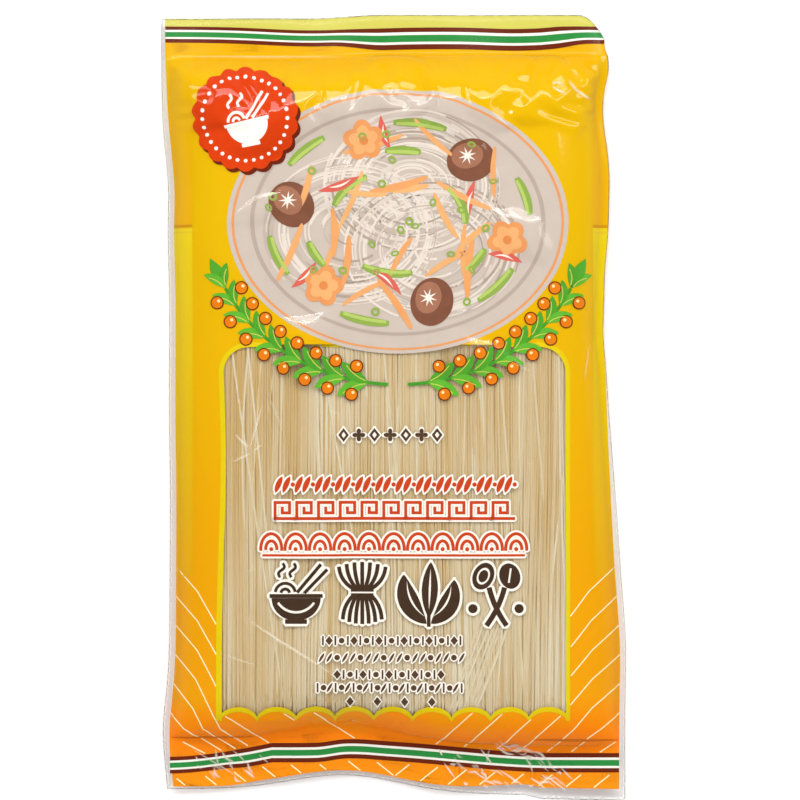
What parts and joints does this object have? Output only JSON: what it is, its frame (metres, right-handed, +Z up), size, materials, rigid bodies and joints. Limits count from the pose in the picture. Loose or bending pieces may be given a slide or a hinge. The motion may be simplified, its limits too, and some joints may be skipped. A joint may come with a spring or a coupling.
{
  "type": "sealed pack of dried rice vermicelli",
  "caption": "Flat sealed film pack of straight dried rice vermicelli, lying on its back, with welded sides, flat end seals and a clear window in its printed front.",
  "frame": {"origin": "middle of the pack's outline, on the surface that the pack lies on", "axes": "+Y to the top of the printed front, +X to its right, +Z up, out of the printed front"},
  "size_m": [0.1802, 0.3036, 0.0211],
  "materials": {
    "printed_film": "clear glossy polypropylene film, printed on its inner side in yellow to orange, with clear welded margins and a clear window",
    "dried_noodle": "dried rice noodle, straight, pale beige and slightly translucent"
  },
  "bodies": {
    "root": {"vermicelli_pack": "printed_film"}
  },
  "joints": []
}
